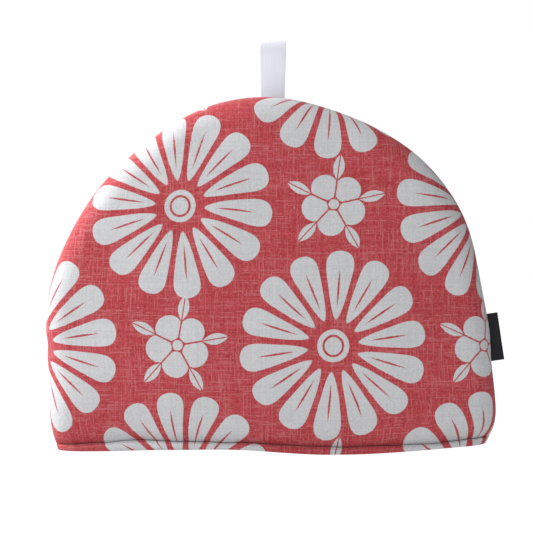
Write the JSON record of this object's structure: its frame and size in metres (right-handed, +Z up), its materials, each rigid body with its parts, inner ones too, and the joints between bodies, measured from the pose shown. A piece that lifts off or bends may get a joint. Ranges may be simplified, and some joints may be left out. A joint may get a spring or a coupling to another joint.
{
  "type": "tea cosy",
  "caption": "Padded dome-shaped tea cosy of slubby cotton with a floral print, open along its hem, with a ribbon loop at the top and a folded tab in the side seam.",
  "frame": {"origin": "on the table, in the middle of the whole cosy's outline as seen from above", "axes": "+X to the right as seen from the front, where the side tab stands out; +Y from the front panel to the back panel; +Z up"},
  "size_m": [0.3698, 0.1068, 0.3268],
  "materials": {
    "printed_cotton": "slubby plain weave, matte, coral with an off-white floral print",
    "ribbon": "white grosgrain ribbon with a slight sheen",
    "tab": "black woven tape, matte"
  },
  "bodies": {
    "root": {"front_panel": "printed_cotton", "back_panel": "printed_cotton", "hanging_loop": "ribbon", "side_tab": "tab"}
  },
  "joints": []
}
